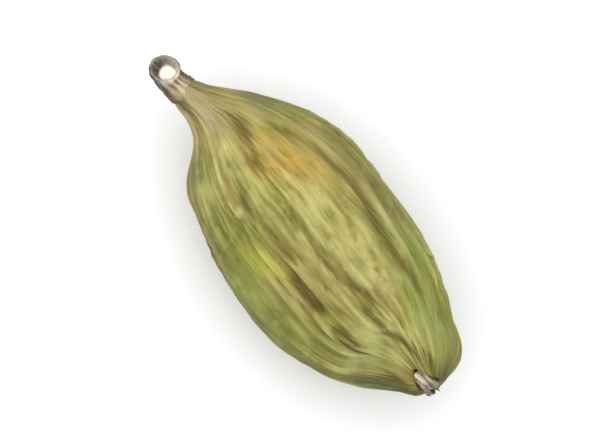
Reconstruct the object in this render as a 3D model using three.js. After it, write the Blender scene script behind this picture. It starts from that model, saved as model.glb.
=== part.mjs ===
// A dried green cardamom pod lying on its side: a ribbed three-sided husk, the stub of its stalk and the
// withered remnant of its flower. Millimetres, +Z up, +X from the stalk to the flower end. The origin is on
// the surface that the pod rests on, at the middle of its length and width.
import * as THREE from "three";

// Driving dimensions
const HUSK_LENGTH = 15.95; // neck to the rim at the flower end, along the husk's centre line
const HUSK_WIDTH = 7.88; // of the round section that its keels stand out from
const HUSK_HEIGHT = 7.4; // of that section, before the resting spot is taken off
const FLAT_DEPTH = 0.2; // how much of the underside the resting spot takes off
const RIB_COUNT = 33; // eleven on each of the three valves
const RIB_HEIGHT = 0.14;
const STALK_RADIUS = 0.58; // at its waist
const STALK_LENGTH = 1.85; // along its bend
const STALK_RISE = THREE.MathUtils.degToRad(75); // how steeply its end points up
const STALK_SWAY = 0.2; // how far its end leans to +Y, as a share of its rise
const REMNANT_RADIUS = 0.32;
const REMNANT_LENGTH = 1.1;
const PLEAT_SHARE = 0.12; // how far its pleats stand out at its open end, as a share of its radius
const GAP = 0.05; // between one piece's end face and the next

// Three sides: the keels stand out from a round section by these shares, and one keel is near the top
const KEEL_SHARE = 0.065;
const KEEL_SHARPNESS = 0.012;
const KEEL_ANGLE = THREE.MathUtils.degToRad(74);

// Lobe of the flower end: from its start along the husk, the wall stands out further on the +Y side by this
// share, fully where it is wider than the outer radius and not at all inside the inner one
const LOBE_SHARE = 0.36;
const LOBE_START = 0.88;
const LOBE_INNER_RADIUS = 0.64;
const LOBE_OUTER_RADIUS = 1.5;

// Fineness of the meshes
const HUSK_ROWS = 34;
const HUSK_SEGMENTS = 4 * RIB_COUNT;
const STALK_SEGMENTS = 24;
const REMNANT_PLEATS = 6;
const REMNANT_SEGMENTS = 4 * REMNANT_PLEATS;

// Husk outline from the neck to the rim at the flower end, as shares of the length and of half the width
const HUSK_OUTLINE = [
  [0.0, 0.17],
  [0.045, 0.215],
  [0.09, 0.32],
  [0.14, 0.49],
  [0.2, 0.69],
  [0.265, 0.83],
  [0.36, 0.945],
  [0.46, 0.992],
  [0.527, 1.0],
  [0.62, 0.985],
  [0.708, 0.945],
  [0.798, 0.828],
  [0.871, 0.66],
  [0.93, 0.495],
  [0.966, 0.36],
  [0.988, 0.245],
  [1.0, 0.16],
];

// Wall and floor of the dimple inside that rim, which holds the flower remnant
const DIMPLE_FLOOR = 0.95;
const DIMPLE_OUTLINE = [
  [0.99, 0.125],
  [DIMPLE_FLOOR, 0.105],
  [DIMPLE_FLOOR, 0.0],
];

// Centre line of the husk at even steps along it: how far it strays sideways and up
const HUSK_DRIFT = [-0.2, 0.3, 0.32, 0.34, 0.2, 0.11, 0.09, 0.05, -0.3];
const HUSK_LIFT = [0.35, 0.2, 0.09, 0.02, 0.0, 0.03, 0.23, 0.7, 1.6];

// Stalk outline from its base to the cupped scar at its end, as shares of its waist radius and of its length
const STALK_OUTLINE = [
  [0.0, 0.0],
  [1.2, 0.0],
  [1.02, 0.3],
  [1.0, 0.6],
  [1.1, 0.85],
  [1.16, 0.94],
  [1.06, 1.0],
  [0.8, 0.99],
  [0.55, 0.91],
  [0.0, 0.88],
];

// Flower remnant outline from its base to its open withered end, as shares of its radius and of its length
const REMNANT_OUTLINE = [
  [0.0, 0.0],
  [1.0, 0.0],
  [0.86, 0.35],
  [0.82, 0.65],
  [0.95, 0.92],
  [0.84, 1.0],
  [0.5, 0.9],
  [0.0, 0.8],
];

const huskMaterial = new THREE.MeshStandardMaterial({ color: 0xa6a05c, roughness: 0.72, metalness: 0 });
const stalkMaterial = new THREE.MeshStandardMaterial({ color: 0x8f8062, roughness: 0.8, metalness: 0 });
const remnantMaterial = new THREE.MeshStandardMaterial({ color: 0x94836c, roughness: 0.85, metalness: 0 });

// A lathed profile whose axis follows a curve. Profile points are (radius, distance along the curve), and
// section(radius, angle, share) gives the distances to the side and up from the curve.
function latheAlong(profile, segments, curve, section) {
  const geometry = new THREE.LatheGeometry(profile, segments);
  const position = geometry.getAttribute("position");
  const length = curve.getLength();
  const sideways = new THREE.Vector3(0, 1, 0);
  const point = new THREE.Vector3();
  const tangent = new THREE.Vector3();
  const side = new THREE.Vector3();
  const up = new THREE.Vector3();
  for (let i = 0; i < position.count; i += 1) {
    const share = THREE.MathUtils.clamp(position.getY(i) / length, 0, 1);
    const radius = Math.hypot(position.getX(i), position.getZ(i));
    const angle = Math.atan2(position.getX(i), position.getZ(i));
    curve.getPointAt(share, point);
    curve.getTangentAt(share, tangent);
    side.copy(sideways).addScaledVector(tangent, -sideways.dot(tangent)).normalize();
    up.crossVectors(tangent, side);
    const [across, above] = section(radius, angle, share);
    point.addScaledVector(side, across).addScaledVector(up, above);
    position.setXYZ(i, point.x, point.y, point.z);
  }
  geometry.deleteAttribute("uv");
  geometry.computeVertexNormals();
  return geometry;
}

function makePiece(name, geometry, material) {
  const mesh = new THREE.Mesh(geometry, material);
  mesh.name = name;
  return mesh;
}

// The husk's centre line, from the neck to the flower end
function huskCentreLine() {
  const steps = HUSK_DRIFT.length - 1;
  const points = HUSK_DRIFT.map(
    (drift, i) => new THREE.Vector3((HUSK_LENGTH * i) / steps, drift, HUSK_HEIGHT / 2 + HUSK_LIFT[i]),
  );
  return new THREE.CatmullRomCurve3(points);
}

// How far the lobe is grown at a place on the wall, from 0 to 1
function lobeGrowth(radius, share) {
  const along = THREE.MathUtils.smoothstep(share, LOBE_START, 1);
  return along * THREE.MathUtils.smoothstep(radius, LOBE_INNER_RADIUS, LOBE_OUTER_RADIUS);
}

// A rounded triangle with a lobe, and with ribs that fade towards both ends of the husk
function huskSection(radius, angle, share) {
  const turn = 3 * (angle - KEEL_ANGLE);
  const keel = 1 + KEEL_SHARE * Math.cos(turn) + KEEL_SHARPNESS * Math.cos(2 * turn);
  const rib = 0.5 * RIB_HEIGHT * Math.sin(Math.PI * share) * (Math.cos(RIB_COUNT * angle) - 1);
  const lobe = LOBE_SHARE * lobeGrowth(radius, share) * Math.cos(angle);
  const reach = radius > 0 ? radius * (keel + lobe) + rib : 0;
  return [reach * Math.cos(angle), (reach * Math.sin(angle) * HUSK_HEIGHT) / HUSK_WIDTH];
}

function roundSection(radius, angle) {
  return [radius * Math.cos(angle), radius * Math.sin(angle)];
}

function pleatedSection(radius, angle, share) {
  const pleat = 1 + PLEAT_SHARE * share * Math.cos(REMNANT_PLEATS * angle);
  return roundSection(radius * pleat, angle);
}

// Lowers a piece onto the surface z = 0 and levels the part of it that would lie below
function restOnSurface(geometry, drop) {
  const position = geometry.getAttribute("position");
  for (let i = 0; i < position.count; i += 1) {
    position.setZ(i, Math.max(position.getZ(i) - drop, 0));
  }
  geometry.computeVertexNormals();
  geometry.computeBoundingBox();
}

function huskGeometry(centreLine) {
  const length = centreLine.getLength();
  const toPoint = ([along, across]) => new THREE.Vector2((across * HUSK_WIDTH) / 2, along * length);
  const outline = new THREE.SplineCurve(HUSK_OUTLINE.map(toPoint));
  const profile = [toPoint([0, 0]), ...outline.getPoints(HUSK_ROWS), ...DIMPLE_OUTLINE.map(toPoint)];
  return latheAlong(profile, HUSK_SEGMENTS, centreLine, huskSection);
}

// A stub that runs on from the husk's neck and bends up to its cupped scar
function stalkGeometry(centreLine) {
  const outward = centreLine.getTangentAt(0).negate();
  const rising = new THREE.Vector3(-Math.cos(STALK_RISE), STALK_SWAY, Math.sin(STALK_RISE));
  const start = centreLine.getPointAt(0).addScaledVector(outward, GAP);
  const bend = start.clone().addScaledVector(outward, STALK_LENGTH / 2);
  const end = bend.clone().addScaledVector(rising, STALK_LENGTH / 2);
  const curve = new THREE.QuadraticBezierCurve3(start, bend, end);
  const length = curve.getLength();
  const profile = STALK_OUTLINE.map(
    ([across, along]) => new THREE.Vector2(across * STALK_RADIUS, along * length),
  );
  return latheAlong(profile, STALK_SEGMENTS, curve, roundSection);
}

// A pleated withered tube that stands in the dimple at the husk's flower end
function remnantGeometry(centreLine) {
  const outward = centreLine.getTangentAt(DIMPLE_FLOOR);
  const start = centreLine.getPointAt(DIMPLE_FLOOR).addScaledVector(outward, GAP);
  const end = start.clone().addScaledVector(outward, REMNANT_LENGTH);
  const curve = new THREE.LineCurve3(start, end);
  const profile = REMNANT_OUTLINE.map(
    ([across, along]) => new THREE.Vector2(across * REMNANT_RADIUS, along * REMNANT_LENGTH),
  );
  return latheAlong(profile, REMNANT_SEGMENTS, curve, pleatedSection);
}

const centreLine = huskCentreLine();
const husk = makePiece("husk", huskGeometry(centreLine), huskMaterial);
const stalk = makePiece("stalk", stalkGeometry(centreLine), stalkMaterial);
const remnant = makePiece("flower_remnant", remnantGeometry(centreLine), remnantMaterial);

husk.geometry.computeBoundingBox();
const drop = husk.geometry.boundingBox.min.z + FLAT_DEPTH;
const pieces = [husk, stalk, remnant];
pieces.forEach((piece) => restOnSurface(piece.geometry, drop));

const pod = new THREE.Group();
pod.add(...pieces);
const middle = new THREE.Box3().setFromObject(pod).getCenter(new THREE.Vector3());
pod.position.set(-middle.x, -middle.y, 0);

export default pod;
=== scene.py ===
import math

import bpy
import numpy as np
from mathutils import Matrix, Vector


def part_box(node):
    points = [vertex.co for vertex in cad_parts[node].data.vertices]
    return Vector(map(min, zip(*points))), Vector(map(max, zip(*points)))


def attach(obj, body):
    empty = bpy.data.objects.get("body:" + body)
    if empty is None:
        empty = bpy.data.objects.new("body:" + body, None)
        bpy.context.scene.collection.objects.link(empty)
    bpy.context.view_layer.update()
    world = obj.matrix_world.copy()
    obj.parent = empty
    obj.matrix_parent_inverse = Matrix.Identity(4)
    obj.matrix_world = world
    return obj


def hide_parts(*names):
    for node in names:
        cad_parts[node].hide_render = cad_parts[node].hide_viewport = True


# A dried green cardamom pod on a white table, seen from above.
# Shapes are worked out in millimetres and go into the meshes in metres: +X stalk to flower end, +Z up.
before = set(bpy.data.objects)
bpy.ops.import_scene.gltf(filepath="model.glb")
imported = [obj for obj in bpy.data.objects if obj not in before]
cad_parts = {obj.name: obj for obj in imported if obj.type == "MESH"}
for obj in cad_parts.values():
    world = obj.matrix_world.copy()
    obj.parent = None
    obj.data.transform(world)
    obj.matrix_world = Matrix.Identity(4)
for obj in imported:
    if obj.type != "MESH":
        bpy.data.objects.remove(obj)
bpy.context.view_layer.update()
mm = 0.001
print("frame loaded:", ", ".join(sorted(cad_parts)))


# a node's lowest and highest corners, in millimetres
def nodeBox(node):
    low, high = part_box(node)
    return np.array(low) / mm, np.array(high) / mm


# smooth step: 3t^2 - 2t^3, with t going from 0 to 1 between start and end
def ease(start, end, value):
    t = np.clip((value - start) / (end - start), 0.0, 1.0)
    return t * t * (3.0 - 2.0 * t)


# span: 1 between start and end, with a smooth step that reaches the given width to either side of each
def span(start, end, width, value):
    return ease(start - width, start + width, value) * (1 - ease(end - width, end + width, value))


# bell: e to the power of minus (distance / reach) squared
def bell(distance, reach):
    return np.exp(-((distance / reach) ** 2))


# degrees from an angle, the short way round
def turnedFrom(around, degrees):
    return np.degrees(np.angle(np.exp(1j * (around - np.radians(degrees)))))


# cubic through points: Hermite cubic between two stations, with the points' own slopes at its ends
def through(stations, values, where):
    stations, values, where = (np.asarray(part, float) for part in (stations, values, where))
    slopes = np.gradient(values, stations, axis=0)
    i = np.clip(np.searchsorted(stations, where, side="right") - 1, 0, len(stations) - 2)
    step = stations[i + 1] - stations[i]
    t = (where - stations[i]) / step
    if values.ndim > 1:
        t, step = t[..., None], step[..., None]
    start = (1 + 2 * t) * (1 - t) ** 2 * values[i] + t * (1 - t) ** 2 * step * slopes[i]
    end = t * t * (3 - 2 * t) * values[i + 1] + t * t * (t - 1) * step * slopes[i + 1]
    return start + end


# ripple: sum of seeded cosines of (whole turns x around + cycles x along), scaled to a spread of 1;
# the turns are drawn between least and most, the cycles up to the given number, both to either side
def ripple(along, around, seed, count, cycles, most, least=0):
    dice = np.random.default_rng(seed)
    total = 0.0
    for _ in range(count):
        turn = dice.choice((-1, 1)) * dice.integers(least, most + 1)
        cycle = dice.uniform(-cycles, cycles)
        total = total + np.cos(turn * around + math.tau * (cycle * along + dice.uniform()))
    return total / math.sqrt(count / 2)


# one of the ripples that a piece's dictionary lists by name
def rippleOf(piece, name, along, around):
    return ripple(along, around, *piece["ripples"][name])


# rows of a turned shape: even steps along its outline, which is given in parts that follow on;
# each row has its share of the length, its share of the radius and the number of its part
def outlineRows(parts, length, width, count):
    outline = np.array(sum(parts, ()))
    steps = np.hypot(*(np.diff(outline, axis=0) * (length, width)).T)
    stations = np.concatenate(((0.0,), np.cumsum(steps)))
    rows = np.linspace(0.0, stations[-1], count + 2)[1:-1]
    along, radius = through(stations, outline, rows).T
    ends = stations[np.cumsum([len(part) for part in parts]) - 1]
    return along[:, None], np.maximum(radius, 0.0)[:, None], np.searchsorted(ends, rows)[:, None]


# even angles once round, the first at +Y
def columnAngles(count):
    return np.linspace(0.0, math.tau, count, endpoint=False)[None, :]


# bent path: the quadratic curve p = 2t(1-t) x bend + t^2 x end, from the origin
def bentPath(bend, end, steps=200):
    t = np.linspace(0.0, 1.0, steps)[:, None]
    return 2 * t * (1 - t) * np.array(bend) + t * t * np.array(end)


# sweep: point = path + side x across + up x above + ahead x onward, at each row's share of the path,
# where ahead is the path's slope, side is +Y made square to it and up is ahead x side
def sweep(path, share, across, above, onward):
    ahead = np.gradient(path, axis=0)
    ahead /= np.linalg.norm(ahead, axis=1, keepdims=True)
    side = np.array((0.0, 1.0, 0.0)) - ahead * ahead[:, 1:2]
    side /= np.linalg.norm(side, axis=1, keepdims=True)
    up = np.cross(ahead, side)
    marks = np.linspace(0.0, 1.0, len(path))

    def at(values):
        return np.stack([np.interp(share, marks, values[:, k]) for k in range(3)], -1)

    points = at(path) + at(side) * across[..., None]
    points = points + at(up) * above[..., None]
    return points + at(ahead) * onward[..., None]


# fit: the box of the judged rows is stretched onto the node's box, so the piece is where the node is
def fitToBox(points, low, high, judged=slice(None)):
    own = points[judged].reshape(-1, 3)
    start, end = own.min(0), own.max(0)
    return low + (points - start) / (end - start) * (high - low)


# lay of the fibres: distance along, and a circle of the given radius at the fibres' own angle
def fibreLay(along, angle, radius):
    along, angle = np.broadcast_arrays(along, angle)
    return np.stack((along, radius * np.cos(angle), radius * np.sin(angle)), -1)


# closed tube: rows of points joined round and along, with one point closing each end
def tubeMesh(name, points, masks):
    rows, columns = points.shape[:2]
    grid = 1 + np.arange(rows * columns).reshape(rows, columns)
    beside = np.roll(grid, -1, axis=1)
    last = np.full(columns, rows * columns + 1)
    quads = np.stack((grid[:-1], beside[:-1], beside[1:], grid[1:]), -1).reshape(-1, 4)
    startFan = np.stack((beside[0], grid[0], 0 * last), -1)
    endFan = np.stack((grid[-1], beside[-1], last), -1)

    def closed(values):
        flat = values.reshape(rows * columns, -1)
        return np.vstack((values[0].mean(0).reshape(1, -1), flat, values[-1].mean(0).reshape(1, -1)))

    mesh = bpy.data.meshes.new(name)
    faces = quads.tolist() + startFan.tolist() + endFan.tolist()
    mesh.from_pydata((closed(points) * mm).tolist(), [], faces)
    mesh.polygons.foreach_set("use_smooth", np.ones(len(mesh.polygons), bool))
    for key, values in masks.items():
        if key == "lay":
            layer = mesh.attributes.new(key, "FLOAT_VECTOR", "POINT")
            layer.data.foreach_set("vector", closed(values).astype(np.float32).ravel())
        else:
            layer = mesh.attributes.new(key, "FLOAT", "POINT")
            values = np.broadcast_to(values, (rows, columns))
            layer.data.foreach_set("value", closed(values).astype(np.float32).ravel())
    # unrolled map: u goes round, v goes along
    left, level = np.arange(columns) / columns, np.arange(rows) / (rows - 1)
    right, middle, none = left + 1 / columns, left + 0.5 / columns, 0 * left
    u = np.broadcast_to(np.stack((left, right, right, left), -1), (rows - 1, columns, 4))
    v = np.broadcast_to(np.stack((level[:-1], level[:-1], level[1:], level[1:]), -1)[:, None], u.shape)
    startUv = np.stack((right, none, left, none, middle, none), -1)
    endUv = np.stack((left, none + 1, right, none + 1, middle, none + 1), -1)
    corners = np.concatenate((np.stack((u, v), -1).ravel(), startUv.ravel(), endUv.ravel()))
    mesh.uv_layers.new(name="unrolled").data.foreach_set("uv", corners)
    mesh.update()
    made = bpy.data.objects.new(name, mesh)
    bpy.context.scene.collection.objects.link(made)
    return made


# a finished piece rides on the one body, stands for its node and takes its slot's finish
def settle(piece, node, material):
    piece.data.materials.append(material)
    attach(piece, "root")
    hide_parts(node)
    print(f"{piece.name}: {len(piece.data.vertices)} points")


# screen colour, 0 to 255, as the linear colour that shaders use:
# share / 12.92 when dark, otherwise (share + 0.055) / 1.055 to the power of 2.4
def tint(red, green, blue):
    share = np.array((red, green, blue)) / 255
    linear = np.where(share <= 0.04045, share / 12.92, ((share + 0.055) / 1.055) ** 2.4)
    return (*linear.tolist(), 1.0)


# a new node with its settings; an input is linked if it is a socket, otherwise set
def addNode(tree, kind, inputs=None, **settings):
    made = tree.nodes.new(kind)
    for key, value in settings.items():
        setattr(made, key, value)
    for key, value in (inputs or {}).items():
        if isinstance(value, bpy.types.NodeSocket):
            tree.links.new(value, made.inputs[key])
        else:
            made.inputs[key].default_value = value
    return made


# a new material, its tree and its shader
def newMaterial(name):
    material = bpy.data.materials.new(name)
    material.use_nodes = True
    tree = material.node_tree
    return material, tree, tree.nodes["Principled BSDF"]


# one of the masks that the mesh carries
def mask(tree, name):
    return addNode(tree, "ShaderNodeAttribute", attribute_name=name).outputs["Fac"]


# noise on the lay of the fibres: cycles per millimetre along them and across them
def grain(tree, alongFibre, acrossFibre, detail, rough, bend):
    lay = addNode(tree, "ShaderNodeAttribute", attribute_name="lay").outputs["Vector"]
    scale = (alongFibre, acrossFibre, acrossFibre)
    spread = addNode(tree, "ShaderNodeMapping", {"Vector": lay, "Scale": scale}).outputs[0]
    inputs = {"Vector": spread, "Scale": 1.0, "Detail": detail, "Roughness": rough, "Distortion": bend}
    return addNode(tree, "ShaderNodeTexNoise", inputs).outputs["Fac"]


# value from low to high becomes start to end, with soft ends
def window(tree, value, low, high, end=1.0, start=0.0):
    inputs = {"Value": value, "From Min": low, "From Max": high, "To Min": start, "To Max": end}
    return addNode(tree, "ShaderNodeMapRange", inputs, interpolation_type="SMOOTHSTEP").outputs[0]


# one step of arithmetic on two values
def reckon(tree, operation, first, second):
    return addNode(tree, "ShaderNodeMath", {0: first, 1: second}, operation=operation).outputs[0]


# one colour laid over another, by an amount from 0 to 1
def coat(tree, amount, under, over, kind="MIX"):
    inputs = {0: amount, 6: under, 7: over}
    return addNode(tree, "ShaderNodeMix", inputs, data_type="RGBA", blend_type=kind).outputs[2]


# the noises of a finish, by name
def grainsOf(tree, finish):
    return {name: grain(tree, *settings) for name, settings in finish["grains"].items()}


# roughness goes from low to high with a noise, and the specular level is the same all over
def gloss(tree, shader, noise, finish):
    low, high = finish["roughness"]
    tree.links.new(window(tree, noise, 0.25, 0.75, high, low), shader.inputs["Roughness"])
    shader.inputs["Specular IOR Level"].default_value = finish["specular"]


# bump of several noises, one upon the other, each with its depth in millimetres
def roughen(tree, shader, noises, finish):
    normal = None
    for name, depth in finish["bump"].items():
        inputs = {"Height": noises[name], "Strength": 1.0, "Distance": depth * mm}
        if normal is not None:
            inputs["Normal"] = normal
        normal = addNode(tree, "ShaderNodeBump", inputs).outputs[0]
    tree.links.new(normal, shader.inputs["Normal"])


# Camera: above, with a slight lean, turned so that the stalk is at the upper left
view = {
    "lens": 300.0,  # millimetres, as are the other lengths here
    "sensor": 36.0,
    "image": (596, 447),  # width and height of the picture
    "frameHeight": 18.6,  # how much the picture takes in, from its foot to its head
    "turn": 50.15,  # degrees from the picture's right down to the pod's length
    "lean": 5.0,  # degrees off the plumb line, towards the pod's -Y side
    "aim": (0.0, 0.0, 3.4),  # what is at the middle of the picture
    "clip": (0.005, 10.0),  # metres
}


# camera: its distance is the width it takes in x lens / sensor, up a line that leans off the plumb line
def makeCamera():
    data = bpy.data.cameras.new("camera")
    data.lens = view["lens"]
    data.sensor_width = view["sensor"]
    data.clip_start, data.clip_end = view["clip"]
    width, height = view["image"]
    distance = view["frameHeight"] * (width / height) * data.lens / data.sensor_width
    lean, turn = math.radians(view["lean"]), math.radians(view["turn"])
    back = Vector((0.0, -math.sin(lean), math.cos(lean)))
    right = Vector((math.cos(turn), math.sin(turn), 0.0))
    right = (right - back * right.dot(back)).normalized()
    place = Matrix((right, back.cross(right), back)).transposed().to_4x4()
    place.translation = (Vector(view["aim"]) + back * distance) * mm
    camera = bpy.data.objects.new("camera", data)
    camera.matrix_world = place
    bpy.context.scene.collection.objects.link(camera)
    bpy.context.scene.camera = camera


makeCamera()
print("camera placed")

# Husk: a three-sided capsule wall with ribs, furrows and seams, and a dimple at the flower end.
# Shares along run from the neck to the rim; angles go from +Y, 0, over the top, 90.
husk = {
    "rows": 226,
    "columns": 432,
    # outline in parts: share of the length, share of half the width
    "neckCap": ((0.05, 0.0), (0.04, 0.06), (0.012, 0.115), (0.0, 0.145)),
    "wall": (
        (0.012, 0.172), (0.045, 0.215), (0.09, 0.32), (0.14, 0.49), (0.2, 0.69), (0.265, 0.83),
        (0.36, 0.945), (0.46, 0.992), (0.527, 1.0), (0.62, 0.985), (0.708, 0.945), (0.798, 0.828),
        (0.871, 0.66), (0.93, 0.495), (0.966, 0.36), (0.988, 0.245), (1.0, 0.16),
    ),
    "dimple": ((0.996, 0.13), (0.98, 0.117), (0.955, 0.105), (0.95, 0.08), (0.95, 0.0)),
    # centre line at even steps, in shares of half the width
    "drift": (-0.05, 0.075, 0.08, 0.085, 0.05, 0.028, 0.023, 0.012, -0.075),
    "lift": (0.088, 0.05, 0.023, 0.005, 0.0, 0.008, 0.058, 0.175, 0.4),
    "pathSteps": 400,
    "heightShare": 0.9375,  # height of the section as a share of its width
    "flatDepth": 0.2,  # how much of the underside the resting spot takes off
    "flatSoftness": 0.06,
    "keelAngle": 74.0,
    "keel": 0.065,
    "keelSharp": 0.012,
    "lobe": 0.36,  # how much further the flower end stands out on its +Y side
    "lobeStart": 0.88,
    "lobeHollow": 0.6,  # how much of that its other side draws in
    "lobeRadius": (0.16, 0.38),  # shares of the radius between which it grows
    "ribs": 33,
    "ribHeight": 0.17,
    "ribSharp": 1.3,
    "ribSpacing": 0.42,  # how uneven the ribs' spacing is, in ribs
    "ribWander": 0.17,  # how far a rib strays on its way, in ribs
    "ribStrengths": (0.3, 1.0),  # the weakest and the strongest rib
    "ribSeed": 11,
    "smooth": (72.0, 20.0, 0.5),  # calmer place: angle, reach, how much calmer
    "smoothAlong": (0.12, 0.62, 0.08),  # its start, end and softness
    # heights of the finer relief
    "wrinkle": 0.045,
    "stria": 0.009,
    "swell": 0.045,
    "crease": 0.011,
    # seed, count, most cycles along, most turns round, least turns round
    "ripples": {
        "spacing": (12, 9, 0.0, 7, 0),
        "wander": (13, 30, 2.4, 6, 0),
        "strength": (14, 40, 5.0, 14, 0),
        "swell": (15, 26, 2.6, 5, 0),
        "crease": (16, 60, 34.0, 12, 0),
        "creased": (17, 20, 3.0, 4, 0),
        "wrinkle": (18, 60, 4.0, 44, 16),
        "stria": (19, 80, 2.0, 105, 60),
        "fray": (201, 30, 0.0, 100, 25),
    },
    "furrowSway": 1.3,  # degrees that a furrow's line wanders
    "furrowFray": 0.014,  # how raggedly its stain ends, as a share of the length; at the notch by the rim it is painted shadow
    "furrowEnd": 0.03,  # the longest that its ends may be
    "swaySeed": 111,  # of the first furrow, and one more for each that follows
    "swayWaves": (7, 4.0, 0),  # count, most cycles along, most turns round
    "unevenSeed": 151,
    "unevenWaves": (9, 9.0, 0),
    "lipHeight": 0.65,  # share of the furrow's depth
    "lipPlace": 2.2,  # in half widths of the furrow
    "lipReach": 1.3,
    "lipLower": 0.45,  # the lip on the -Y side, as a share of the one on the +Y side
    # angle at half the length, turn over the whole length, start, end, depth, half width in degrees, stain
    # (painted shadow at the notch by the rim)
    "furrows": (
        # the top seam, in three stretches
        (96.2, 6.0, 0.435, 0.75, 0.18, 3.2, 0.72),
        (82.2, 51.0, 0.74, 0.87, 0.14, 3.8, 0.8),
        (166.5, -171.0, 0.87, 0.985, 0.14, 4.2, 0.8),
        # the furrow above it
        (52.2, -46.0, 0.22, 0.46, 0.08, 3.6, 0.5),
        (55.0, 27.0, 0.46, 0.72, 0.16, 4.2, 0.7),
        (69.8, -44.0, 0.7, 0.86, 0.08, 3.6, 0.5),
        # dark dashes below the seam
        (129.6, 42.0, 0.275, 0.4, 0.08, 3.4, 0.65),
        (138.0, 0.0, 0.35, 0.39, 0.08, 4.0, 0.8),
        (118.0, 0.0, 0.38, 0.53, 0.06, 3.6, 0.5),
        (123.0, 0.0, 0.545, 0.7, 0.11, 5.0, 1.25),
        (110.8, 60.0, 0.755, 0.86, 0.1, 5.4, 1.7),
        (132.5, 0.0, 0.635, 0.67, 0.06, 3.4, 0.7),
        (137.5, 0.0, 0.66, 0.745, 0.06, 4.0, 0.6),
        # dark dashes near the neck
        (117.0, 95.0, 0.13, 0.205, 0.1, 7.0, 0.75),
        (97.3, 0.0, 0.228, 0.285, 0.08, 5.5, 0.6),
        # the sides and the underside
        (146.0, 6.0, 0.5, 0.85, 0.1, 3.4, 0.45),
        (186.0, -5.0, 0.15, 0.5, 0.1, 3.6, 0.6),
        (206.0, 4.0, 0.35, 1.05, 0.14, 2.6, 0.6),
        (18.0, 5.0, 0.25, 0.85, 0.1, 3.0, 0.4),
        (330.0, -6.0, 0.4, 1.05, 0.14, 2.6, 0.6),
        (262.0, 3.0, 0.1, 0.6, 0.07, 3.0, 0.4),
        (295.0, -3.0, 0.45, 0.9, 0.08, 3.0, 0.5),
        # the sides of the neck
        (30.0, 0.0, -0.1, 0.07, 0.04, 20.0, 0.9),
        (142.0, 0.0, -0.1, 0.045, 0.04, 20.0, 1.0),
        (60.0, 0.0, -0.05, 0.085, 0.05, 10.0, 0.7),
        # the dark notch by the rim: its stain is painted shadow in the notch
        (166.0, 0.0, 0.945, 0.99, 0.03, 7.5, 1.7),
        # the darker patch above the seam's hook
        (90.0, 0.0, 0.75, 0.825, 0.0, 6.0, 0.75),
        # the seam's dark end
        (246.5, -364.0, 0.962, 0.995, 0.03, 9.0, 1.0),
    ),
    # angle, share along, depth, reach round in degrees, reach along
    "dents": (
        (87.5, 0.785, 0.17, 9.0, 0.045),
        (70.0, 0.4, 0.1, 13.0, 0.07),
        (132.0, 0.2, 0.12, 22.0, 0.05),
        (150.0, 0.55, 0.1, 14.0, 0.08),
        (30.0, 0.62, 0.12, 14.0, 0.09),
        (230.0, 0.3, 0.12, 16.0, 0.08),
        (345.0, 0.75, 0.12, 16.0, 0.06),
    ),
    # angle, reach round in degrees, how far the rim goes beyond or stays short there
    "rim": ((15.0, 50.0, 0.1), (116.0, 32.0, -0.85), (160.0, 22.0, -0.3)),
}

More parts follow.
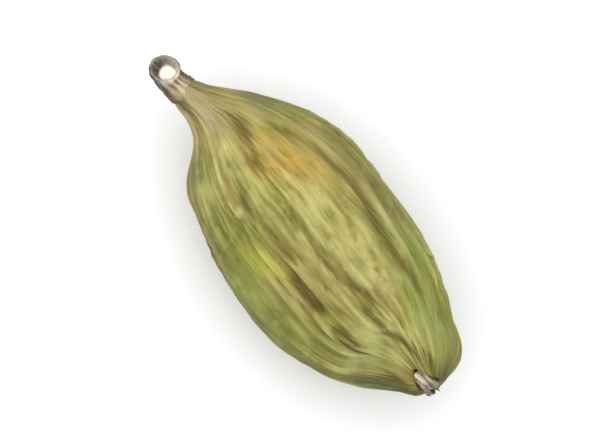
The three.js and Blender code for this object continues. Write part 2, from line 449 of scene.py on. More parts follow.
# Patches of colour on the husk: share along and share across of the middle, reach along, reach across,
# slant and strength. Shares across go from -1, on the -Y side, to 1.
patches = {
    "yellow": (
        (0.51, -0.67, 0.07, 0.12, 0.0, 1.0),
        (0.49, -0.78, 0.07, 0.1, 0.0, 0.8),
    ),
    "moss": (
        (0.668, -0.7, 0.09, 0.12, 0.0, 1.2),
        (0.43, -0.55, 0.03, 0.12, 0.0, 0.7),
        (0.785, 0.0, 0.035, 0.07, 0.0, 0.7),
        (0.62, -0.31, 0.12, 0.07, 0.0, 0.75),
        (0.885, -0.1, 0.04, 0.06, 0.0, 0.6),
        (0.56, 0.5, 0.16, 0.08, 0.0, 0.6),
        (0.77, -0.51, 0.05, 0.07, 0.0, 0.7),
    ),
    "fresh": (
        (0.784, 0.44, 0.05, 0.12, 0.0, 1.0),
        (0.83, 0.38, 0.07, 0.17, 0.0, 1.05),
        (0.73, 0.64, 0.1, 0.13, 0.0, 0.95),
        (0.88, 0.3, 0.05, 0.14, 0.0, 0.6),
    ),
    "leaf": (
        (0.918, 0.25, 0.06, 0.2, 0.0, 0.7),
        (0.74, 0.82, 0.12, 0.12, 0.0, 0.8),
        (0.89, -0.35, 0.05, 0.12, 0.0, 0.9),
        (0.82, -0.31, 0.05, 0.1, 0.0, 0.5),
        (0.765, 0.33, 0.04, 0.07, 0.0, 0.8),
        (0.86, -0.62, 0.06, 0.12, 0.0, 0.9),
        (0.9, -0.46, 0.06, 0.13, 0.0, 1.0),
    ),
    "pale": (
        (0.43, 0.17, 0.07, 0.15, 0.0, 1.0),
        (0.588, 0.2, 0.09, 0.15, 0.0, 1.0),
        (0.725, 0.14, 0.065, 0.09, 0.0, 1.25),
        (0.25, -0.5, 0.07, 0.2, 0.0, 0.5),
        (0.155, -0.12, 0.03, 0.09, 0.0, 0.8),
        (0.183, -0.2, 0.035, 0.11, 0.0, 1.5),
        (0.335, 0.08, 0.04, 0.1, 0.0, 0.9),
        (0.4, 0.01, 0.045, 0.06, 0.0, 1.0),
        (0.925, 0.09, 0.03, 0.06, 0.0, 0.8),
        (0.4, 0.34, 0.05, 0.12, 0.0, 0.7),
        (0.262, -0.29, 0.03, 0.06, 0.0, 0.7),
        (0.36, -0.32, 0.12, 0.08, 0.0, 0.4),
        (0.493, -0.2, 0.016, 0.035, 0.0, 1.0),
        (0.333, -0.51, 0.016, 0.04, 0.0, 1.0),
        (0.86, -0.3, 0.05, 0.12, 0.0, 1.0),
        (0.965, -0.27, 0.03, 0.08, 0.0, 0.9),
        (0.84, -0.53, 0.05, 0.1, 0.0, 0.6),
        (0.245, -0.6, 0.04, 0.12, 0.0, 0.8),
    ),
    "tan": (
        (0.774, 0.21, 0.05, 0.08, 0.0, 0.5),
        (0.824, 0.1, 0.04, 0.08, 0.0, 0.8),
        (0.612, -0.62, 0.05, 0.11, 0.0, 1.0),
        (0.7, -0.32, 0.05, 0.08, 0.0, 0.5),
        (0.56, -0.78, 0.05, 0.1, 0.0, 0.8),
        (0.3, 0.66, 0.07, 0.12, 0.0, 0.7),
    ),
    "ochre": (
        (0.31, 0.24, 0.085, 0.18, 0.9, 1.0),
        (0.37, 0.42, 0.07, 0.15, 0.0, 0.7),
        (0.33, 0.02, 0.06, 0.12, 0.0, 0.4),
        (0.275, 0.02, 0.06, 0.14, 0.0, 1.2),
        (0.22, 0.14, 0.06, 0.14, 0.0, 0.9),
    ),
    "umber": (
        (0.175, 0.08, 0.05, 0.08, 0.4, 1.0),
        (0.25, -0.05, 0.045, 0.08, 0.0, 1.15),
        (0.63, -0.44, 0.07, 0.08, 0.0, 1.0),
        (0.81, -0.44, 0.05, 0.07, 0.0, 0.8),
        (0.73, 0.42, 0.03, 0.06, 0.0, 0.7),
        (0.46, 0.62, 0.09, 0.1, 0.0, 0.6),
        (0.27, 0.5, 0.05, 0.12, 1.2, 0.5),
        (0.43, 0.77, 0.12, 0.08, 0.0, 0.5),
        (0.755, -0.04, 0.03, 0.08, 0.0, 1.2),
        (0.57, -0.32, 0.07, 0.06, 0.0, 0.5),
        (0.272, 0.08, 0.04, 0.08, 0.0, 0.45),
    ),
}

# Zones of colour on the husk: a pair is where a smooth step starts and where it ends. Heights go from -1,
# underneath, to 1, on top, and sides from 0, at the middle, to 1.
zones = {
    "patchHeight": (-0.1, 0.35),
    # flanks: a greener tone of their own, and painted shade on the lower sides, which turn away from the
    # light
    "leftFlank": (0.5, 0.85),  # +Y side, by the share across
    "rightFlank": (0.75, 1.0),  # -Y side
    "flankHeight": (-0.9, 0.0),
    "neckEnd": (0.04, 0.26),
    "stubEnd": (0.02, 0.08),
    "ridge": (94.0, 140.0, 18.0),  # painted highlight along the top from the stub: angle, turn over the whole length, reach
    "ridgeEnd": (0.1, 0.16),
    # painted shade of the dark edges: under the tip, beside the neck and at the lobe's end
    "tipStart": (0.82, 0.94),
    "tipAngle": (188.0, 20.0),  # angle and reach of the painted shade under the tip
    "tipShadeStrength": 1.4,
    "leftShoulder": (0.115, 0.17, 0.025),  # painted shade beside the neck: start, end, softness
    "leftSide": (0.3, 0.85),
    "rightShoulder": (0.155, 0.21, 0.025),
    "rightSide": (0.78, 0.95),
    "shoulderHeight": (-0.6, 0.0),
    "shoulderShadeStrength": 0.85,
    "lobeEndShade": (0.97, 0.998),
    "lobeSide": (0.0, 0.6),
    "lobeShadeStrength": 0.85,
}


# patch: strength x bell of the distance to its middle, in shares of its two reaches, on the upper side
def patchMask(spots, along, across, height):
    total = 0.0
    for alongMid, acrossMid, alongReach, acrossReach, slant, strength in spots:
        dx, dy = along - alongMid, across - acrossMid
        distance = np.hypot(dx / alongReach, (dy - slant * dx) / acrossReach)
        total = np.maximum(total, strength * bell(distance, 1.0))
    return total * ease(*zones["patchHeight"], height)


# masks of the zones: products of smooth steps and spans along, across, round and up the husk
def zoneMasks(along, around, across):
    height, leftward = np.sin(around) + 0 * along, np.cos(around)
    masks = {name: patchMask(spots, along, across, height) for name, spots in patches.items()}
    flanks = ease(*zones["leftFlank"], across) + ease(*zones["rightFlank"], -across)
    # flanks: their own greener tone with painted shade, lower down the sides
    masks["flankTintAndShade"] = flanks * ease(*zones["flankHeight"], height)
    masks["neck"] = 1 - ease(*zones["neckEnd"], along)
    # painted highlight along the top of the neck, joined to the pale stub end
    angle, slant, turnReach = zones["ridge"]
    ridge = bell(turnedFrom(around, angle + slant * along), turnReach)
    ridge = ridge * (1 - ease(*zones["ridgeEnd"], along))
    masks["stub"] = np.maximum(1 - ease(*zones["stubEnd"], along), ridge)
    # painted shade under the tip, beside the neck and at the lobe's end, all in the edge colour
    angle, turnReach = zones["tipAngle"]
    underTipShade = zones["tipShadeStrength"] * ease(*zones["tipStart"], along)
    underTipShade = underTipShade * bell(turnedFrom(around, angle), turnReach)
    leftShoulder = span(*zones["leftShoulder"], along) * ease(*zones["leftSide"], leftward)
    rightShoulder = span(*zones["rightShoulder"], along) * ease(*zones["rightSide"], -leftward)
    shoulderShade = zones["shoulderShadeStrength"] * np.maximum(leftShoulder, rightShoulder)
    shoulderShade = shoulderShade * ease(*zones["shoulderHeight"], height)
    lobeEndShade = zones["lobeShadeStrength"] * ease(*zones["lobeEndShade"], along) * ease(*zones["lobeSide"], leftward)
    masks["edge"] = np.maximum(lobeEndShade, np.maximum(underTipShade, shoulderShade))
    return masks


# furrows: bells across lines that sway along the wall, with a lip on each side, higher on the +Y side;
# their stains, and the painted shadow at the notch, are bells with flatter tops, which narrow and fray
# towards the ends
def furrowRelief(along, around):
    depth, stainAndShade, lip = 0.0, 0.0, 0.0
    fray = husk["furrowFray"] * rippleOf(husk, "fray", 0 * along, around)
    for k, (angle, slant, start, end, deep, width, dark) in enumerate(husk["furrows"]):
        sway = husk["furrowSway"] * ripple(along, 0.0, husk["swaySeed"] + k, *husk["swayWaves"])
        off = turnedFrom(around, angle + slant * (along - 0.5) + sway)
        waves = ripple(along, 0.0, husk["unevenSeed"] + k, *husk["unevenWaves"])
        uneven = 0.85 + 0.15 * np.clip(waves, -1, 1)
        soft = min(husk["furrowEnd"], 0.3 * (end - start))
        here = span(start, end, soft, along) * uneven
        frayed = span(start, end, soft, along + fray) * uneven
        depth = np.maximum(depth, deep * here * bell(off, width))
        tapered = width * (0.4 + 0.6 * here)
        stainAndShade = np.maximum(stainAndShade, dark * frayed * bell(np.abs(off / tapered) ** 1.5, 1.3))
        side = np.where(off < 0, 1.0, husk["lipLower"])
        raised = bell(np.abs(off) - husk["lipPlace"] * width, husk["lipReach"] * width)
        lip = np.maximum(lip, deep * here * side * raised)
    return depth, stainAndShade, lip


# section: radius x (1 + keel cos 3a + sharp cos 6a + lobe cos b), a from the top keel and b from +Y
def huskSection(along, around, radius, halfWidth):
    turn = 3 * (around - math.radians(husk["keelAngle"]))
    lobe = husk["lobe"] * ease(husk["lobeStart"], 1.0, along) * ease(*husk["lobeRadius"], radius)
    keel = husk["keel"] * np.cos(turn) + husk["keelSharp"] * np.cos(2 * turn)
    leaning = np.cos(around) * np.where(np.cos(around) > 0, 1.0, husk["lobeHollow"])
    return radius * halfWidth * (1 + keel + lobe * leaning)


# ribs: a sharpened cosine of a phase that wanders, each rib with a strength of its own that varies along it
def ribCrests(along, around):
    spacing = husk["ribSpacing"] * rippleOf(husk, "spacing", 0 * along, around)
    phase = husk["ribs"] * around / math.tau + spacing
    phase = phase + husk["ribWander"] * rippleOf(husk, "wander", along, around)
    strengths = np.random.default_rng(husk["ribSeed"]).uniform(*husk["ribStrengths"], husk["ribs"])
    strength = strengths[np.floor(phase + 0.5).astype(int) % husk["ribs"]]
    strength = strength * np.clip(0.8 + 0.35 * rippleOf(husk, "strength", along, around), 0.1, 1.3)
    angle, turnReach, calm = husk["smooth"]
    smooth = bell(turnedFrom(around, angle), turnReach) * span(*husk["smoothAlong"], along)
    strength = strength * (1 - calm * smooth)
    return phase, (0.5 + 0.5 * np.cos(math.tau * phase)) ** husk["ribSharp"] * strength


# long wrinkles between the ribs, sharp at the crest: 1 - |ripple|
def longWrinkles(along, around):
    return np.clip(1 - np.abs(rippleOf(husk, "wrinkle", along, around)), -1.0, 1.0)


# relief: ribs that sink in the furrows + lips - furrows + wrinkles + striae + swells + creases - dents,
# lower where the pod is thin
def huskRelief(along, around, radius, crest, wrinkle, furrow, lip):
    sunk, thin = np.clip(furrow / 0.12, 0, 0.8), radius ** 0.7
    relief = husk["ribHeight"] * (crest - 0.4) * (1 - sunk) * thin
    relief = relief + (husk["lipHeight"] * lip - furrow) * np.minimum(1.0, 1.6 * radius)
    relief = relief + husk["wrinkle"] * wrinkle * thin
    relief = relief + husk["stria"] * rippleOf(husk, "stria", along, around) * radius ** 0.5
    relief = relief + husk["swell"] * rippleOf(husk, "swell", along, around) * radius
    creased = np.clip(rippleOf(husk, "creased", along, around), 0.0, 1.5)
    relief = relief + husk["crease"] * creased * rippleOf(husk, "crease", along, around)
    for angle, place, deep, turnReach, alongReach in husk["dents"]:
        dent = deep * bell(turnedFrom(around, angle), turnReach) * bell(along - place, alongReach)
        relief = relief - dent
    return relief


# rim: a sum of bells round it, which grows over the last fifth of the wall; it is cut back at the top seam
def rimOnward(along, around, radius):
    onward = 0.0
    for angle, turnReach, beyond in husk["rim"]:
        onward = onward + beyond * bell(turnedFrom(around, angle), turnReach)
    return onward * ease(0.8, 0.99, along) * np.minimum(1.0, radius / 0.15)


# husk: the section with its relief, carried along a cubic centre line and fitted to the node's box
def huskShape():
    low, high = nodeBox("husk")
    length, halfWidth = high[0] - low[0], (high[1] - low[1]) / 2
    outline = (husk["neckCap"], husk["wall"], husk["dimple"])
    along, radius, part = outlineRows(outline, length, halfWidth, husk["rows"])
    around = columnAngles(husk["columns"])
    onWall, inDimple = 1.0 * (part == 1), 1.0 * (part == 2)  # numbers in the outline
    marks, share = np.linspace(0.0, 1.0, len(husk["drift"])), np.linspace(0.0, 1.0, husk["pathSteps"])
    drift, lift = through(marks, husk["drift"], share), through(marks, husk["lift"], share)
    path = np.stack((share * length, drift * halfWidth, lift * halfWidth), -1)

    reach = huskSection(along, around, radius, halfWidth)
    midDrift = husk["drift"][len(husk["drift"]) // 2]
    across = reach * np.cos(around) / halfWidth + np.interp(along, share, drift) - midDrift
    phase, crest = ribCrests(along, around)
    wrinkle = longWrinkles(along, around)
    furrow, stainAndShade, lip = furrowRelief(along, around)
    relief = huskRelief(along, around, radius, crest, wrinkle, furrow, lip)
    fade = onWall * ease(-0.02, 0.06, along) * (1 - 0.5 * ease(0.93, 0.99, along))
    reach = np.maximum(reach + relief * fade, 0.0)

    above = reach * np.sin(around) * husk["heightShare"]
    points = sweep(path, along, reach * np.cos(around), above, rimOnward(along, around, radius))
    points = fitToBox(points, low - np.array((0.0, 0.0, husk["flatDepth"])), high)
    # resting spot: z becomes (z + root(z^2 + softness^2)) / 2, which never goes below the table
    points[..., 2] = (points[..., 2] + np.hypot(points[..., 2], husk["flatSoftness"])) / 2

    masks = zoneMasks(along, around, across)
    masks["crest"] = np.clip(crest + 0.25 * wrinkle, 0.0, 1.0)
    masks["lip"] = np.clip(lip / 0.2, 0.0, 1.0) * onWall
    # stains of the furrows, with the painted shadow in the notch by the rim
    masks["stainAndShade"] = np.clip(stainAndShade, 0.0, 1.0) * onWall
    masks["inside"] = inDimple
    masks["lay"] = fibreLay(along * length, math.tau * phase / husk["ribs"], 0.85 * halfWidth)
    return points, masks


# Skin of the husk: screen colours, then how it is laid on
skin = {
    # crest and valley: the ribs' own paler and darker tones, with painted highlight on the crests and
    # painted shade in the valleys
    "crest": (186, 178, 104),
    "valley": (118, 113, 42),
    # the flanks' greener tone with painted shade
    "flankTintAndShade": (116, 122, 56),
    "yellow": (188, 186, 66),
    "moss": (136, 136, 44),
    "fresh": (124, 150, 58),
    "leaf": (170, 177, 108),
    "pale": (210, 205, 132),
    "tan": (190, 169, 110),
    "ochre": (208, 172, 80),
    "umber": (136, 104, 44),
    "scorch": (86, 71, 20),
    "neck": (190, 172, 117),
    # painted shade of the edges under the tip, beside the neck and at the lobe's end
    "edge": (68, 76, 42),
    # the pale stub end, and the painted highlight along the top of the neck
    "stub": (202, 191, 154),
    "lip": (212, 206, 134),
    "inside": (124, 112, 80),
    "shade": (0.55, 0.52, 0.38, 1.0),  # linear colour that darkens the blotches
    # how well each zone's colour covers, in the order that they are laid on
    "cover": {
        "flankTintAndShade": 0.7, "yellow": 0.85, "moss": 0.8, "fresh": 0.9, "leaf": 0.8, "pale": 0.8, "tan": 0.8,
        "ochre": 0.9, "umber": 0.8, "neck": 0.7, "edge": 0.85, "stub": 0.7, "lip": 0.8,
    },
    # cycles per millimetre along and across the fibres, detail, roughness, bend
    "grains": {
        "streak": (0.16, 2.0, 4.0, 0.6, 0.3),
        "blotch": (0.8, 1.4, 5.0, 0.66, 0.4),
        "mottle": (0.4, 0.75, 4.0, 0.6, 0.5),
        "cloud": (0.14, 0.3, 3.0, 0.55, 0.0),
        "fleck": (0.8, 4.0, 3.0, 0.6, 0.5),
        "fibre": (0.7, 6.5, 4.0, 0.65, 0.3),
        "cross": (4.0, 1.2, 3.0, 0.6, 0.6),
    },
    "bump": {"fibre": 0.045, "cross": 0.03, "fleck": 0.03},
    "roughness": (0.52, 0.78),
    "specular": 0.28,
}


# skin: crest colour over valley colour, with painted highlight on the crests and painted shade in the
# valleys, then the zones' colours, among them painted shade and a painted highlight, mottling, dark
# blotches, stains with a painted shadow and scorched valleys, each laid on by a mask, a noise or the
# product of both
def huskSkin():
    material, tree, shader = newMaterial("husk_skin")
    noise = grainsOf(tree, skin)
    # painted highlight on the crests and painted shade in the valleys, over the ribs' own tones
    crest = reckon(tree, "ADD", mask(tree, "crest"), window(tree, noise["streak"], 0.3, 0.75, 0.35, -0.25))
    crest = reckon(tree, "ADD", crest, window(tree, noise["fibre"], 0.36, 0.64, 0.34, -0.34))
    colour = coat(tree, crest, tint(*skin["valley"]), tint(*skin["crest"]))
    colour = coat(tree, window(tree, noise["cloud"], 0.48, 0.72, 0.4), colour, tint(*skin["fresh"]))
    for name, cover in skin["cover"].items():
        patchy = window(tree, noise["blotch"], 0.3, 0.62, cover, 0.35 * cover)
        amount = reckon(tree, "MULTIPLY", mask(tree, name), patchy)
        colour = coat(tree, amount, colour, tint(*skin[name]))

    spared = reckon(tree, "MAXIMUM", mask(tree, "edge"), mask(tree, "leaf"))
    inland = reckon(tree, "SUBTRACT", 1.0, spared)
    mottled = reckon(tree, "MULTIPLY", inland, window(tree, noise["mottle"], 0.53, 0.68, 0.5))
    colour = coat(tree, mottled, colour, tint(*skin["umber"]))
    blotched = window(tree, noise["blotch"], 0.4, 0.7, 0.6)
    colour = coat(tree, blotched, colour, skin["shade"], "MULTIPLY")
    fibrous = window(tree, noise["fibre"], 0.3, 0.7, 0.8, 1.25)
    # the furrows' stains and the notch's painted shadow, in the scorch colour
    streaked = reckon(tree, "MULTIPLY", mask(tree, "stainAndShade"), fibrous)
    stainAndShade = reckon(tree, "MULTIPLY", streaked, window(tree, noise["fleck"], 0.28, 0.52, 0.95, 0.55))
    colour = coat(tree, stainAndShade, colour, tint(*skin["scorch"]))
    valley = reckon(tree, "SUBTRACT", 1.0, mask(tree, "crest"))
    scorched = reckon(tree, "MULTIPLY", valley, window(tree, noise["fleck"], 0.58, 0.74, 0.7))
    colour = coat(tree, scorched, colour, tint(*skin["scorch"]))
    colour = coat(tree, mask(tree, "inside"), colour, tint(*skin["inside"]))
    tree.links.new(colour, shader.inputs["Base Color"])
    gloss(tree, shader, noise["streak"], skin)
    roughen(tree, shader, noise, skin)
    return material


# the husk's shape with its skin, in the place of its node
def makeHusk():
    points, masks = huskShape()
    piece = tubeMesh("pod_husk", points, masks)
    settle(piece, "husk", huskSkin())


makeHusk()

# Stalk: a short striated stub that bends up to a swollen, cupped scar with pale pith in it
stalk = {
    "rows": 110,
    "columns": 120,
    "length": 1.85,
    "radius": 0.58,  # at the waist
    "outward": (-1.0, -0.25, 0.07),  # which way it leaves the neck
    "rise": 75.0,  # degrees that its head turns up
    "sway": 0.2,  # how far its head turns to +Y
    "inset": 0.4,  # how far its foot runs on inside the husk's neck
    # outline in parts: share of the length, share of the waist's radius
    "foot": ((0.0, 0.0), (0.0, 0.6), (0.06, 1.0)),
    "wall": (
        (0.18, 1.12), (0.3, 1.05), (0.45, 0.98), (0.62, 0.97),
        (0.76, 1.02), (0.87, 1.1), (0.95, 1.12), (0.99, 1.02),
    ),
    "cup": ((0.985, 0.84), (0.95, 0.7), (0.91, 0.58), (0.89, 0.36), (0.9, 0.0)),
    "cupShift": 0.22,  # how far the cup's floor lies towards the inner side
    "striae": 11,
    "striaDepth": 0.07,
    "twist": 0.09,  # how far the striae wander round, in radians
    "swell": 0.022,
    "crease": 0.008,
    "rimUneven": 0.03,
    "pithUneven": 0.03,  # share of the radius
    # seed, count, most cycles along, most turns round
    "ripples": {
        "twist": (41, 14, 1.0, 3),
        "swell": (42, 18, 1.6, 3),
        "crease": (43, 40, 14.0, 12),
        "rim": (44, 12, 0.0, 6),
        "pith": (45, 6, 0.0, 4),
    },
    "rimScarAndShade": (0.68, 0.34, 0.16),  # dark scar all round, with painted shade more on the outer side and more on the -Y side
    "pithRadius": (0.48, 0.66),  # shares of the radius between which the pith ends
    "litTopHighlight": 0.5,  # painted highlight: how pale the upward-facing inner side is below the scar
}


# stalk: a turned outline with striae, carried along a bent path and fitted to the node's box
def stalkShape():
    low, high = nodeBox("stalk")
    rise, inset, half = math.radians(stalk["rise"]), stalk["inset"], stalk["length"] / 2
    bend = np.array(stalk["outward"]) * (half + inset)
    path = bentPath(bend, bend + half * np.array((-math.cos(rise), stalk["sway"], math.sin(rise))))
    whole = stalk["length"] + inset
    outline = (stalk["foot"], stalk["wall"], stalk["cup"])
    along, radius, part = outlineRows(outline, whole, stalk["radius"], stalk["rows"])
    around = columnAngles(stalk["columns"])
    inCup = 1.0 * (part == 2)
    # striae: a cosine of a phase that wanders along the stub
    phase = around + stalk["twist"] * rippleOf(stalk, "twist", along, around)
    groove = 0.5 - 0.5 * np.cos(stalk["striae"] * phase)
    relief = -stalk["striaDepth"] * groove * (1 - 0.6 * ease(0.75, 0.95, along))
    relief = relief + stalk["swell"] * rippleOf(stalk, "swell", along, around)
    relief = relief + stalk["crease"] * rippleOf(stalk, "crease", along, around)
    relief = relief * (1 - 0.8 * inCup) * np.minimum(radius, 1.0)
    reach = np.maximum(radius * stalk["radius"] + relief, 0.0)
    onward = stalk["rimUneven"] * rippleOf(stalk, "rim", 0 * along, around)
    onward = onward * ease(0.75, 0.97, along) * ease(0.0, 0.8, radius)
    # the cup's floor lies nearer the inner side, so the scar's outer rim is the broad one
    shift = stalk["cupShift"] * inCup * (1 - ease(0.55, 0.95, radius))
    points = sweep(path, along, reach * np.cos(around), reach * np.sin(around) - shift, onward)
    points = fitToBox(points, low, high, along[:, 0] > inset / whole)

    # the scar's rim is dark all round, with painted shade darkest on its outer side and its -Y side, and
    # paler along its edge
    allRound, onOuter, onRight = stalk["rimScarAndShade"]
    outer = allRound + onOuter * np.sin(around) - onRight * np.cos(around)
    edge = 1 - 0.55 * ease(0.8, 1.05, radius)
    ragged = stalk["pithUneven"] * rippleOf(stalk, "pith", 0 * along, around)
    # painted highlight on the upward-facing inner side below the scar, laid on with the pith's colour
    litTopHighlight = stalk["litTopHighlight"] * ease(0.55, 0.8, along) * ease(0.3, 0.9, -np.sin(around)) * (1 - inCup)
    # painted shade on the stalk's two sides, darker than its lit top
    sides = np.maximum(ease(0.4, 0.9, np.cos(around)), ease(0.15, 0.75, -np.cos(around)))
    masks = {
        "groove": groove * (1 - inCup),
        "rim": ease(0.76, 0.9, along) * ease(0.46, 0.6, radius) * np.clip(outer, 0.0, 1.0) * edge,
        # the pith, with the painted highlight of the lit inner side
        "pith": np.maximum(inCup * (1 - ease(*stalk["pithRadius"], radius + ragged)), litTopHighlight),
        "side": sides * (1 - inCup),
        "foot": 1 - ease(0.15, 0.5, along),
        "lay": fibreLay(along * stalk["length"], phase, stalk["radius"] * radius),
    }
    return points, masks


# Fibre of the stalk: screen colours, then how it is laid on
fibre = {
    "ridge": (208, 195, 162),
    "groove": (128, 110, 80),
    # painted shade on the stalk's sides
    "side": (86, 72, 56),
    # the scar's dark colour, with painted shade on its outer and -Y sides
    "rim": (62, 54, 56),
    "pith": (240, 234, 222),
    "foot": (196, 182, 138),
    "footCover": 0.6,
    # cycles per millimetre along and across the fibres, detail, roughness, bend
    "grains": {
        "streak": (0.9, 5.0, 4.0, 0.6, 0.3),
        "speck": (7.0, 9.0, 3.0, 0.6, 0.0),
    },
    "bump": {"streak": 0.03, "speck": 0.015},
    "roughness": (0.6, 0.85),
    "specular": 0.3,
}


# fibre: groove colour over ridge colour, then the foot, the sides' painted shade, the rim's scar with
# painted shade and the pith with a painted highlight, each by its mask
def stalkFibre():
    material, tree, shader = newMaterial("stalk_fibre")
    noise = grainsOf(tree, fibre)
    depth = reckon(tree, "ADD", mask(tree, "groove"), window(tree, noise["streak"], 0.3, 0.7, 0.35, -0.35))
    colour = coat(tree, depth, tint(*fibre["ridge"]), tint(*fibre["groove"]))
    foot = reckon(tree, "MULTIPLY", mask(tree, "foot"), fibre["footCover"])
    colour = coat(tree, foot, colour, tint(*fibre["foot"]))
    # painted shade on the sides
    side = reckon(tree, "MULTIPLY", mask(tree, "side"), window(tree, noise["streak"], 0.3, 0.6, 1.0, 0.7))
    colour = coat(tree, side, colour, tint(*fibre["side"]))
    # the rim: dark scar with painted shade
    rim = reckon(tree, "MULTIPLY", mask(tree, "rim"), window(tree, noise["speck"], 0.2, 0.6, 1.0, 0.7))
    colour = coat(tree, rim, colour, tint(*fibre["rim"]))
    # the pith, and the painted highlight of the lit inner side
    pith = reckon(tree, "MULTIPLY", mask(tree, "pith"), window(tree, noise["speck"], 0.2, 0.5, 1.0, 0.75))
    colour = coat(tree, pith, colour, tint(*fibre["pith"]))
    tree.links.new(colour, shader.inputs["Base Color"])
    gloss(tree, shader, noise["streak"], fibre)
    roughen(tree, shader, noise, fibre)
    return material


# the stalk's shape with its fibre, in the place of its node
def makeStalk():
    points, masks = stalkShape()
    piece = tubeMesh("pod_stalk", points, masks)
    settle(piece, "stalk", stalkFibre())


makeStalk()

# Flower remnant: a crumpled, pleated tube with a ragged mouth, standing in the husk's dimple
remnant = {
    "rows": 120,
    "columns": 120,
    "length": 1.1,
    "radius": 0.32,
    "rise": 26.0,  # degrees that it points up
    # outline in parts: share of the length, share of the radius
    "base": ((0.0, 0.0), (0.0, 0.7)),
    "wall": ((0.05, 1.0), (0.25, 0.9), (0.5, 0.8), (0.75, 0.84), (0.92, 0.95), (0.99, 0.94)),
    "mouth": ((0.98, 0.8), (0.85, 0.62), (0.7, 0.45), (0.66, 0.0)),
    "pleats": 6,
    "pleatDepth": 0.09,
    "twist": 0.13,  # how far the pleats wander round, in radians
    "crumple": 0.035,
    "crease": 0.01,
    "ragged": 0.08,
    # seed, count, most cycles along, most turns round
    "ripples": {
        "twist": (71, 12, 0.8, 3),
        "crumple": (72, 16, 1.4, 3),
        "crease": (73, 40, 9.0, 14),
        "ragged": (74, 14, 0.0, 9),
    },
}


# flower remnant: a turned outline with pleats, carried along a straight path and fitted to the node's box
def remnantShape():
    low, high = nodeBox("flower_remnant")
    rise = math.radians(remnant["rise"])
    end = remnant["length"] * np.array((math.cos(rise), 0.0, math.sin(rise)))
    path = bentPath(end / 2, end)
    outline = (remnant["base"], remnant["wall"], remnant["mouth"])
    along, radius, part = outlineRows(outline, remnant["length"], remnant["radius"], remnant["rows"])
    around = columnAngles(remnant["columns"])
    # pleats: a cosine of a phase that wanders, deeper towards the mouth
    phase = around + remnant["twist"] * rippleOf(remnant, "twist", along, around)
    fold = 0.5 - 0.5 * np.cos(remnant["pleats"] * phase)
    relief = remnant["pleatDepth"] * (0.4 - fold) * (0.4 + ease(0.1, 0.9, along))
    crumple = remnant["crumple"] * rippleOf(remnant, "crumple", along, around)
    relief = relief + crumple * ease(0.1, 0.7, along)
    relief = relief + remnant["crease"] * rippleOf(remnant, "crease", along, around)
    reach = np.maximum(radius * remnant["radius"] + relief * np.minimum(radius, 1.0), 0.0)
    onward = remnant["ragged"] * rippleOf(remnant, "ragged", 0 * along, around)
    onward = onward * ease(0.55, 1.0, along) * ease(0.0, 0.8, radius)
    points = sweep(path, along, reach * np.cos(around), reach * np.sin(around), onward)
    masks = {
        "fold": fold,
        # painted shade deep in the mouth
        "mouth": (part == 2) * (1 - ease(0.5, 0.9, radius)),
        "edge": ease(0.5, 0.85, along),
        "lay": fibreLay(along * remnant["length"], phase, remnant["radius"]),
    }
    return fitToBox(points, low, high), masks


# Withered flower: screen colours, then how it is laid on
withered = {
    "ridge": (226, 210, 186),
    "fold": (158, 136, 110),
    # painted shade deep in the mouth
    "mouth": (46, 38, 30),
    "edge": (88, 88, 72),
    # cycles per millimetre along and across the fibres, detail, roughness, bend
    "grains": {"streak": (2.0, 8.0, 4.0, 0.6, 0.4)},
    "bump": {"streak": 0.02},
    "roughness": (0.6, 0.9),
    "specular": 0.3,
}


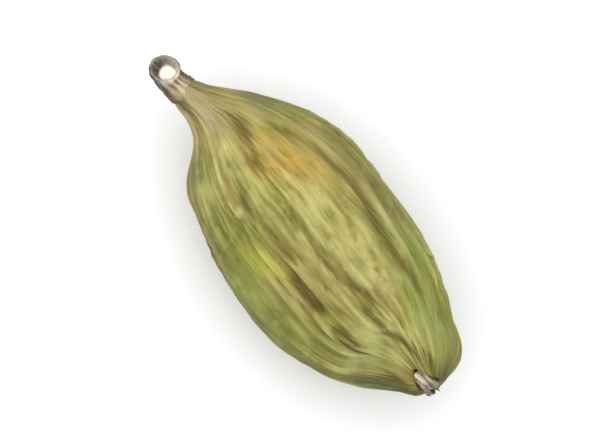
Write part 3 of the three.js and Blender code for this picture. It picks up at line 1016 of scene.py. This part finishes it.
# withered flower: fold colour over ridge colour, then the dark edge and the painted shade in the mouth,
# each by its mask
def witheredFlower():
    material, tree, shader = newMaterial("withered_flower")
    noise = grainsOf(tree, withered)
    depth = reckon(tree, "ADD", mask(tree, "fold"), window(tree, noise["streak"], 0.3, 0.7, 0.35, -0.35))
    colour = coat(tree, depth, tint(*withered["ridge"]), tint(*withered["fold"]))
    edge = reckon(tree, "MULTIPLY", mask(tree, "edge"), window(tree, noise["streak"], 0.3, 0.6, 0.85, 0.5))
    colour = coat(tree, edge, colour, tint(*withered["edge"]))
    # painted shade deep in the mouth
    colour = coat(tree, mask(tree, "mouth"), colour, tint(*withered["mouth"]))
    tree.links.new(colour, shader.inputs["Base Color"])
    gloss(tree, shader, noise["streak"], withered)
    roughen(tree, shader, noise, withered)
    return material


# the remnant's shape with its finish, in the place of its node
def makeRemnant():
    points, masks = remnantShape()
    piece = tubeMesh("pod_flower_remnant", points, masks)
    settle(piece, "flower_remnant", witheredFlower())


makeRemnant()

# Table and light: a white sheet, a wide soft box above the stalk end and white all round
studio = {
    "tableSize": 2.0,  # metres, as are the other sizes here
    "tableColour": (247, 248, 250),
    "tableRoughness": 0.7,
    "tableSpecular": 0.2,
    "boxSize": 1.0,
    "boxDirection": (-0.15, 0.0, 1.0),
    "boxDistance": 0.5,
    "boxPower": 3.5,
    "sky": 0.68,
}


# studio: a level square table, an area light along its direction and a white sky
def makeStudio():
    half = studio["tableSize"] / 2
    mesh = bpy.data.meshes.new("table")
    corners = ((-half, -half, 0.0), (half, -half, 0.0), (half, half, 0.0), (-half, half, 0.0))
    mesh.from_pydata(corners, [], [(0, 1, 2, 3)])
    table = bpy.data.objects.new("table", mesh)
    bpy.context.scene.collection.objects.link(table)
    material, _, shader = newMaterial("table_white")
    shader.inputs["Base Color"].default_value = tint(*studio["tableColour"])
    shader.inputs["Roughness"].default_value = studio["tableRoughness"]
    shader.inputs["Specular IOR Level"].default_value = studio["tableSpecular"]
    mesh.materials.append(material)

    data = bpy.data.lights.new("soft_box", "AREA")
    data.size = studio["boxSize"]
    data.energy = studio["boxPower"]
    box = bpy.data.objects.new("soft_box", data)
    away = Vector(studio["boxDirection"]).normalized()
    box.location = away * studio["boxDistance"]
    box.rotation_euler = away.to_track_quat("Z", "Y").to_euler()
    bpy.context.scene.collection.objects.link(box)

    world = bpy.data.worlds.new("studio")
    world.use_nodes = True
    sky = world.node_tree.nodes["Background"]
    sky.inputs["Color"].default_value = (1.0, 1.0, 1.0, 1.0)
    sky.inputs["Strength"].default_value = studio["sky"]
    bpy.context.scene.world = world
    bpy.context.scene.view_settings.view_transform = "Standard"


makeStudio()
print("table and light placed")
